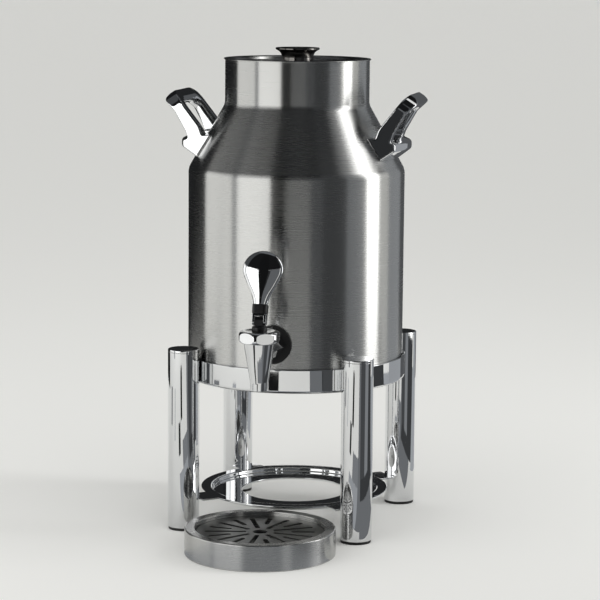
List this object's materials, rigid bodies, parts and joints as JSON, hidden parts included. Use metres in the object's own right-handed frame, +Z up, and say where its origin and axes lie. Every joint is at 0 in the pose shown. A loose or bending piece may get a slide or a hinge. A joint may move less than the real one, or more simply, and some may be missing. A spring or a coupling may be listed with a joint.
{
  "type": "hot water urn",
  "caption": "Milk-churn shaped hot water urn with a lift-off lid, loop handles and a self-closing lever tap, on a chromed stand above a burner plate, with a drip tray.",
  "frame": {"origin": "middle of the whole object's footprint, stand and drip tray together, on the table", "axes": "+Z up, the tap points towards -Y, the handles lie along X; the urn's own axis is parallel to +Z at x = 0, y = 0.0637 m"},
  "size_m": [0.269, 0.3636, 0.5055],
  "materials": {
    "brushed_steel": "brushed round the body",
    "brushed_lid": "brushed",
    "brushed_tray": "brushed round the rim",
    "brushed_grate": "brushed, darker",
    "polished_chrome": "mirror polished",
    "dark_knob": "polished, dark",
    "plain_steel": "plain zinc or stainless hardware",
    "black_rubber": "matt",
    "black_plastic": "satin",
    "clear_silicone": "soft, milky"
  },
  "bodies": {
    "stand": {"leg_front_left": "polished_chrome", "leg_cap_front_left": "polished_chrome", "foot_pad_front_left": "black_rubber", "leg_front_right": "polished_chrome", "leg_cap_front_right": "polished_chrome", "foot_pad_front_right": "black_rubber", "leg_back_right": "polished_chrome", "leg_cap_back_right": "polished_chrome", "foot_pad_back_right": "black_rubber", "leg_back_left": "polished_chrome", "leg_cap_back_left": "polished_chrome", "foot_pad_back_left": "black_rubber", "support_band": "polished_chrome", "band_screws": "plain_steel", "burner_plate": "polished_chrome"},
    "urn": {"urn_shell": "brushed_steel", "urn_base": "brushed_steel", "handle_left": "polished_chrome", "handle_right": "polished_chrome", "handle_screws": "plain_steel", "handle_washers": "plain_steel", "tap_gasket": "black_rubber", "tap_body": "polished_chrome", "tap_inner_washer": "clear_silicone", "tap_lock_nut": "plain_steel", "tap_bonnet": "polished_chrome", "stem_guide": "black_plastic"},
    "valve": {"valve_stem": "black_plastic", "seat_cup": "clear_silicone", "valve_spring": "plain_steel"},
    "lever": {"lever_fork": "polished_chrome", "pivot_pin": "plain_steel", "lever_collar": "black_plastic", "tap_paddle": "polished_chrome"},
    "lid": {"lid_plate": "brushed_lid", "lid_collar": "brushed_lid", "lid_knob": "dark_knob", "knob_washer": "plain_steel", "knob_screw": "plain_steel"},
    "tray": {"tray_rim": "brushed_tray", "tray_pan": "brushed_tray"},
    "grate": {"drip_grate": "brushed_grate"}
  },
  "joints": [
    {"name": "urn_lift", "type": "slide", "parent": "stand", "child": "urn", "axis": [0, 0, 1], "range_m": [0, 0.2]},
    {"name": "stem_lift", "type": "slide", "parent": "urn", "child": "valve", "axis": [0, 0, 1], "range_m": [0, 0.004], "deforming": ["valve_spring"]},
    {"name": "lever_tilt", "type": "hinge", "parent": "valve", "child": "lever", "pos_m": [0, -0.11326, 0.23995], "axis": [1, 0, 0], "range_deg": [0, 40], "stiffness_Nm_per_rad": 0.15, "springref_deg": -34.38},
    {"name": "lid_lift", "type": "slide", "parent": "urn", "child": "lid", "axis": [0, 0, 1], "range_m": [0, 0.12]},
    {"name": "tray_slide", "type": "slide", "parent": "stand", "child": "tray", "axis": [0, -1, 0], "range_m": [0, 0.15]},
    {"name": "grate_lift", "type": "slide", "parent": "tray", "child": "grate", "axis": [0, 0, 1], "range_m": [0, 0.05]}
  ],
  "couplings": [
    {"joint": "stem_lift", "follows": "lever_tilt", "m_per_rad": 0.0057}
  ]
}
